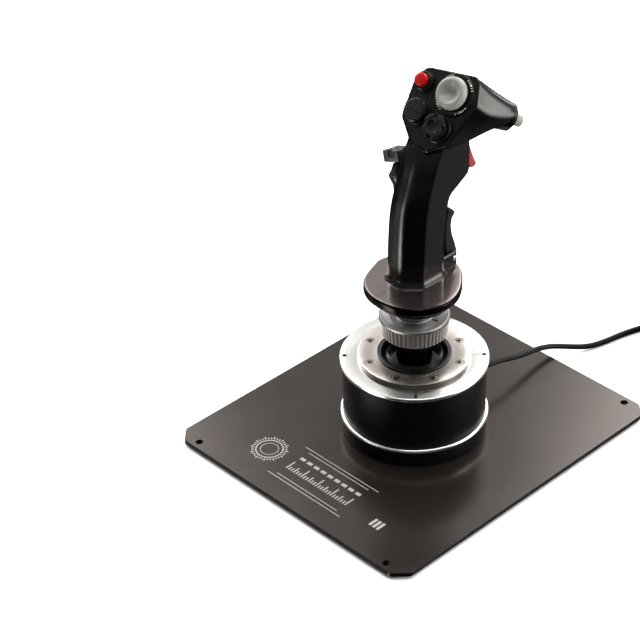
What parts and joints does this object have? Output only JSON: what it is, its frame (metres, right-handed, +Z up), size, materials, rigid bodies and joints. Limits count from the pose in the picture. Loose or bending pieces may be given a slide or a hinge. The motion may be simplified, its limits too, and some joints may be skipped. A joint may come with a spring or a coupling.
{
  "type": "flight joystick",
  "caption": "Desktop flight joystick: pistol grip with hat switches, trigger and paddle on a two-axis gimbal in a round housing, fixed to a flat base plate, with a coiled lead.",
  "frame": {"origin": "middle of the base plate's footprint, on the desk surface", "axes": "+Z up, +Y forward away from the pilot (long side of the plate), +X to the pilot's right"},
  "size_m": [0.226, 0.3802, 0.2755],
  "materials": {
    "plate_metal": "satin powder coat",
    "housing_metal": "satin anodised",
    "bright_metal": "turned, bright",
    "champagne_metal": "bead blasted anodised",
    "screw_steel": "zinc plated",
    "collar_metal": "satin anodised, knurled",
    "cast_metal": "raw die cast",
    "grip_metal": "satin black lacquer",
    "black_plastic": "moulded, satin",
    "pale_plastic": "moulded, satin",
    "red_plastic": "moulded, gloss",
    "trigger_red": "satin",
    "grey_plastic": "moulded",
    "paddle_metal": "satin",
    "rubber_black": "matte",
    "circuit_board": "solder mask",
    "magnet_nickel": "nickel plated",
    "plug_black": "moulded"
  },
  "bodies": {
    "base": {"base_plate": "plate_metal", "housing_shell": "housing_metal", "base_foot_ring": "housing_metal", "bottom_cover": "housing_metal", "lower_ring": "bright_metal", "top_ring": "bright_metal", "mounting_ring": "champagne_metal", "mounting_ring_screws": "screw_steel", "set_screws": "screw_steel", "base_screws": "screw_steel", "guide_posts": "screw_steel", "corner_springs": "screw_steel", "centre_spring": "screw_steel", "gimbal_cradle": "cast_metal", "pressure_plate": "cast_metal", "dust_bezel": "black_plastic", "rubber_feet": "rubber_black", "cord_strain_relief": "rubber_black", "usb_cord": "rubber_black", "cord_coil": "rubber_black", "cord_tie": "rubber_black", "sensor_board": "circuit_board", "usb_board": "circuit_board", "usb_plug": "plug_black"},
    "gimbal": {"gimbal_ring": "cast_metal", "gimbal_pins": "screw_steel"},
    "stick": {"stick_hub": "grip_metal", "dust_dome": "black_plastic", "rocker_disc": "cast_metal", "rocker_magnet": "magnet_nickel", "grip_neck": "grip_metal", "grip_shell_left": "grip_metal", "grip_shell_right": "grip_metal", "shell_screws": "screw_steel", "grip_board": "circuit_board", "head_face_plate": "grip_metal", "trim_hat_ring": "black_plastic", "target_hat_base": "black_plastic", "data_hat_base": "black_plastic", "hat_switches": "black_plastic", "side_hat_boot": "rubber_black", "side_hat_switch": "black_plastic", "weapon_button_collar": "black_plastic", "nose_button_bezel": "black_plastic", "button_switches": "black_plastic", "lever_pins": "screw_steel"},
    "collar": {"collar_nut": "collar_metal"},
    "trim_pivot": {"trim_hat_pivot": "black_plastic"},
    "trim_hat": {"trim_hat_cap": "pale_plastic"},
    "target_pivot": {"target_hat_pivot": "black_plastic"},
    "target_hat": {"target_hat_cap": "black_plastic"},
    "data_pivot": {"data_hat_pivot": "black_plastic"},
    "data_hat": {"data_hat_cap": "black_plastic"},
    "side_pivot": {"side_hat_pivot": "black_plastic"},
    "side_hat": {"side_hat_cap": "grey_plastic"},
    "weapon_button": {"weapon_button": "red_plastic"},
    "nose_button": {"nose_button": "pale_plastic"},
    "trigger": {"trigger": "trigger_red"},
    "paddle": {"paddle": "paddle_metal"},
    "finger_button": {"finger_button": "black_plastic"}
  },
  "joints": [
    {"name": "stick_pitch", "type": "hinge", "parent": "base", "child": "gimbal", "pos_m": [0, 0, 0.045], "axis": [1, 0, 0], "range_deg": [-15, 15], "stiffness_Nm_per_rad": 9},
    {"name": "stick_roll", "type": "hinge", "parent": "gimbal", "child": "stick", "pos_m": [0, 0, 0.045], "axis": [0, 1, 0], "range_deg": [-15, 15], "stiffness_Nm_per_rad": 9},
    {"name": "collar_turn", "type": "hinge", "parent": "stick", "child": "collar", "pos_m": [0, 0, 0.09], "axis": [0, 0, 1], "continuous": true},
    {"name": "trim_hat_x", "type": "hinge", "parent": "stick", "child": "trim_pivot", "pos_m": [0.0078, 0.03431, 0.25884], "axis": [0.9903, 0.1392, 0], "range_deg": [-7, 7], "stiffness_Nm_per_rad": 0.05},
    {"name": "trim_hat_y", "type": "hinge", "parent": "trim_pivot", "child": "trim_hat", "pos_m": [0.0078, 0.03431, 0.25884], "axis": [-0.0876, 0.6232, 0.7771], "range_deg": [-7, 7], "stiffness_Nm_per_rad": 0.05},
    {"name": "target_hat_x", "type": "hinge", "parent": "stick", "child": "target_pivot", "pos_m": [0.00766, 0.01878, 0.23988], "axis": [0.9903, 0.1392, 0], "range_deg": [-7, 7], "stiffness_Nm_per_rad": 0.05},
    {"name": "target_hat_y", "type": "hinge", "parent": "target_pivot", "child": "target_hat", "pos_m": [0.00766, 0.01878, 0.23988], "axis": [-0.0876, 0.6232, 0.7771], "range_deg": [-7, 7], "stiffness_Nm_per_rad": 0.05},
    {"name": "data_hat_x", "type": "hinge", "parent": "stick", "child": "data_pivot", "pos_m": [-0.01171, 0.02013, 0.24485], "axis": [0.9903, 0.1392, 0], "range_deg": [-7, 7], "stiffness_Nm_per_rad": 0.05},
    {"name": "data_hat_y", "type": "hinge", "parent": "data_pivot", "child": "data_hat", "pos_m": [-0.01171, 0.02013, 0.24485], "axis": [-0.0876, 0.6232, 0.7771], "range_deg": [-7, 7], "stiffness_Nm_per_rad": 0.05},
    {"name": "side_hat_x", "type": "hinge", "parent": "stick", "child": "side_pivot", "pos_m": [-0.01829, 0.00749, 0.19526], "axis": [0.9392, 0, 0.3434], "range_deg": [-7, 7], "stiffness_Nm_per_rad": 0.05},
    {"name": "side_hat_y", "type": "hinge", "parent": "side_pivot", "child": "side_hat", "pos_m": [-0.01829, 0.00749, 0.19526], "axis": [0.0481, 0.9902, -0.1315], "range_deg": [-7, 7], "stiffness_Nm_per_rad": 0.05},
    {"name": "weapon_button_press", "type": "slide", "parent": "stick", "child": "weapon_button", "axis": [-0.1082, 0.7696, -0.6293], "range_m": [0, 0.0015], "stiffness_N_per_m": 500, "springref_m": -0.001},
    {"name": "nose_button_press", "type": "slide", "parent": "stick", "child": "nose_button", "axis": [-0.5003, -0.7204, 0.4803], "range_m": [0, 0.0007], "stiffness_N_per_m": 500, "springref_m": -0.001},
    {"name": "trigger_squeeze", "type": "hinge", "parent": "stick", "child": "trigger", "pos_m": [0, 0.034, 0.223], "axis": [-1, 0, 0], "range_deg": [0, 12], "stiffness_Nm_per_rad": 0.4, "springref_deg": -5.73},
    {"name": "paddle_squeeze", "type": "hinge", "parent": "stick", "child": "paddle", "pos_m": [0, 0.028, 0.138], "axis": [1, 0, 0], "range_deg": [0, 5], "stiffness_Nm_per_rad": 0.6, "springref_deg": -5.73},
    {"name": "finger_button_press", "type": "slide", "parent": "stick", "child": "finger_button", "axis": [0, -1, 0], "range_m": [0, 0.0012], "stiffness_N_per_m": 500, "springref_m": -0.001}
  ]
}
